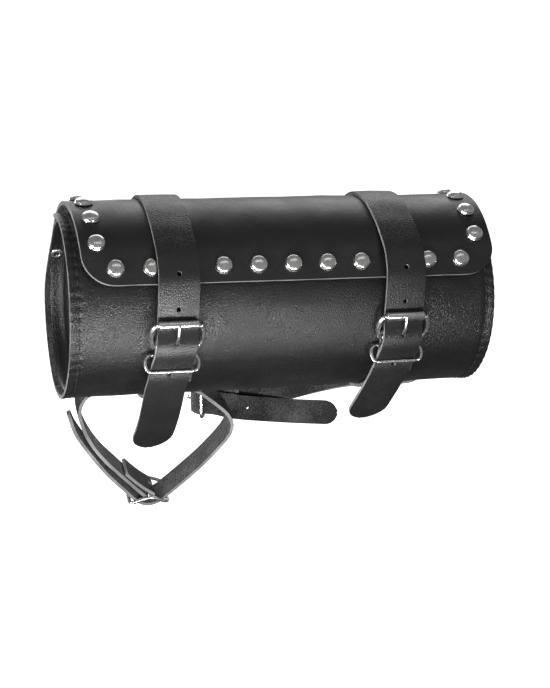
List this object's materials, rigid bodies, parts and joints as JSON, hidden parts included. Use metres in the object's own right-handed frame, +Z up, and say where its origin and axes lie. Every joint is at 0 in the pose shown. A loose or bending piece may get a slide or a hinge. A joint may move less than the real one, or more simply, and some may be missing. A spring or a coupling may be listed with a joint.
{
  "type": "motorcycle tool roll",
  "caption": "Barrel-shaped leather tool roll with a studded hinged flap, two buckled closing straps and two buckled mounting-strap loops under its back.",
  "frame": {"origin": "middle of the barrel, on its axis, half-way between the two mounting straps that hold it", "axes": "+X along the barrel, +Z up, and -Y towards the front, the side with the buckles"},
  "size_m": [0.308, 0.1802, 0.2461],
  "materials": {
    "black_leather": "waxed black cowhide with a pebbled grain",
    "strap_leather": "smooth waxed black strap leather",
    "suede_side": "black strap leather with its napped flesh side out",
    "nickel_plate": "bright nickel plate on steel"
  },
  "bodies": {
    "barrel": {"barrel_body": "black_leather", "buckle_rivet_left": "nickel_plate", "buckle_rivet_right": "nickel_plate", "buckle_strap_left": "strap_leather", "buckle_strap_right": "strap_leather", "end_panel_left": "black_leather", "end_panel_right": "black_leather", "fold_rivet_right": "nickel_plate", "mount_buckle_left": "nickel_plate", "mount_buckle_right": "nickel_plate", "mount_prong_left": "nickel_plate", "mount_prong_right": "nickel_plate", "mount_rivet_left_1": "nickel_plate", "mount_rivet_left_2": "nickel_plate", "mount_rivet_right_1": "nickel_plate", "mount_rivet_right_2": "nickel_plate", "mount_strap_left": "suede_side", "mount_strap_right": "suede_side", "stud_back_left": "nickel_plate", "stud_back_right": "nickel_plate"},
    "flap": {"closing_rivet_left": "nickel_plate", "closing_rivet_right": "nickel_plate", "closing_strap_left": "strap_leather", "closing_strap_right": "strap_leather", "flap_panel": "black_leather", "stud_front_01": "nickel_plate", "stud_front_02": "nickel_plate", "stud_front_03": "nickel_plate", "stud_front_04": "nickel_plate", "stud_front_05": "nickel_plate", "stud_front_06": "nickel_plate", "stud_front_07": "nickel_plate", "stud_front_08": "nickel_plate", "stud_front_09": "nickel_plate", "stud_front_10": "nickel_plate", "stud_front_11": "nickel_plate", "stud_left_1": "nickel_plate", "stud_left_2": "nickel_plate", "stud_left_3": "nickel_plate", "stud_left_4": "nickel_plate", "stud_left_5": "nickel_plate", "stud_right_1": "nickel_plate", "stud_right_2": "nickel_plate", "stud_right_3": "nickel_plate", "stud_right_4": "nickel_plate", "stud_right_5": "nickel_plate"},
    "buckle_left": {"buckle_frame_left": "nickel_plate"},
    "roller_left": {"buckle_roller_left": "nickel_plate"},
    "prong_left": {"buckle_prong_left": "nickel_plate"},
    "keeper_left": {"keeper_left": "nickel_plate"},
    "buckle_right": {"buckle_frame_right": "nickel_plate"},
    "roller_right": {"buckle_roller_right": "nickel_plate"},
    "prong_right": {"buckle_prong_right": "nickel_plate"},
    "keeper_right": {"keeper_right": "nickel_plate"}
  },
  "joints": [
    {"name": "flap_open", "type": "hinge", "parent": "barrel", "child": "flap", "pos_m": [0, 0.04516, 0.05381], "axis": [-1, 0, 0], "range_deg": [0, 100], "deforming": ["closing_strap_left", "closing_strap_right"]},
    {"name": "buckle_swing_left", "type": "hinge", "parent": "barrel", "child": "buckle_left", "pos_m": [-0.08, -0.06638, -0.02221], "axis": [1, 0, 0], "range_deg": [0, 40]},
    {"name": "roller_spin_left", "type": "hinge", "parent": "buckle_left", "child": "roller_left", "pos_m": [-0.08, -0.07588, -0.00695], "axis": [1, 0, 0], "continuous": true},
    {"name": "prong_swing_left", "type": "hinge", "parent": "buckle_left", "child": "prong_left", "pos_m": [-0.08, -0.06638, -0.02221], "axis": [1, 0, 0], "range_deg": [0, 26]},
    {"name": "keeper_swing_left", "type": "hinge", "parent": "barrel", "child": "keeper_left", "pos_m": [-0.0838, -0.06315, -0.02878], "axis": [-1, 0, 0], "range_deg": [0, 42]},
    {"name": "buckle_swing_right", "type": "hinge", "parent": "barrel", "child": "buckle_right", "pos_m": [0.0815, -0.06638, -0.02221], "axis": [1, 0, 0], "range_deg": [0, 40]},
    {"name": "roller_spin_right", "type": "hinge", "parent": "buckle_right", "child": "roller_right", "pos_m": [0.0815, -0.07588, -0.00695], "axis": [1, 0, 0], "continuous": true},
    {"name": "prong_swing_right", "type": "hinge", "parent": "buckle_right", "child": "prong_right", "pos_m": [0.0815, -0.06638, -0.02221], "axis": [1, 0, 0], "range_deg": [0, 26]},
    {"name": "keeper_swing_right", "type": "hinge", "parent": "barrel", "child": "keeper_right", "pos_m": [0.0777, -0.06315, -0.02878], "axis": [-1, 0, 0], "range_deg": [0, 42]}
  ]
}
